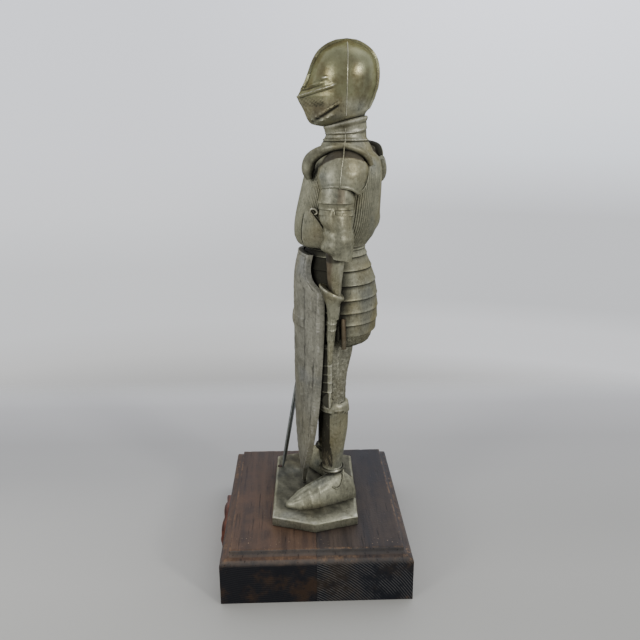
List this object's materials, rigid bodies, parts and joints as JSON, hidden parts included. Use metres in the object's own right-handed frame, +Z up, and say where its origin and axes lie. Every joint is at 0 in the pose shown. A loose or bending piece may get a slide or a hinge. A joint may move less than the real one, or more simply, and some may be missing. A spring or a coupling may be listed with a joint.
{
  "type": "knight statue",
  "caption": "Cast metal statuette of a knight in plate armour with a shield and a sword, on a moulded wooden base.",
  "frame": {"origin": "middle of the wooden base's underside", "axes": "+Z up, -Y the way the knight faces, +X towards the knight's left"},
  "size_m": [0.1186, 0.1037, 0.2795],
  "materials": {
    "knight": "aged spelter or pewter with an olive-brown patina and worn bright edges",
    "shield": "aged grey cast metal with a finely lined face",
    "sword": "dark blue-grey steel",
    "base_front": "dark brown stain, waxed and worn at the edges",
    "base_rear": "dark brown stain, waxed and worn at the edges, greyer than the front board",
    "plaque": "red-brown painted casting",
    "nails": "rusty iron"
  },
  "bodies": {
    "root": {"knight": "knight", "shield": "shield", "sword": "sword", "base_board_front": "base_front", "base_board_rear": "base_rear", "plaque": "plaque", "nail_front": "nails", "nail_rear": "nails"}
  },
  "joints": []
}
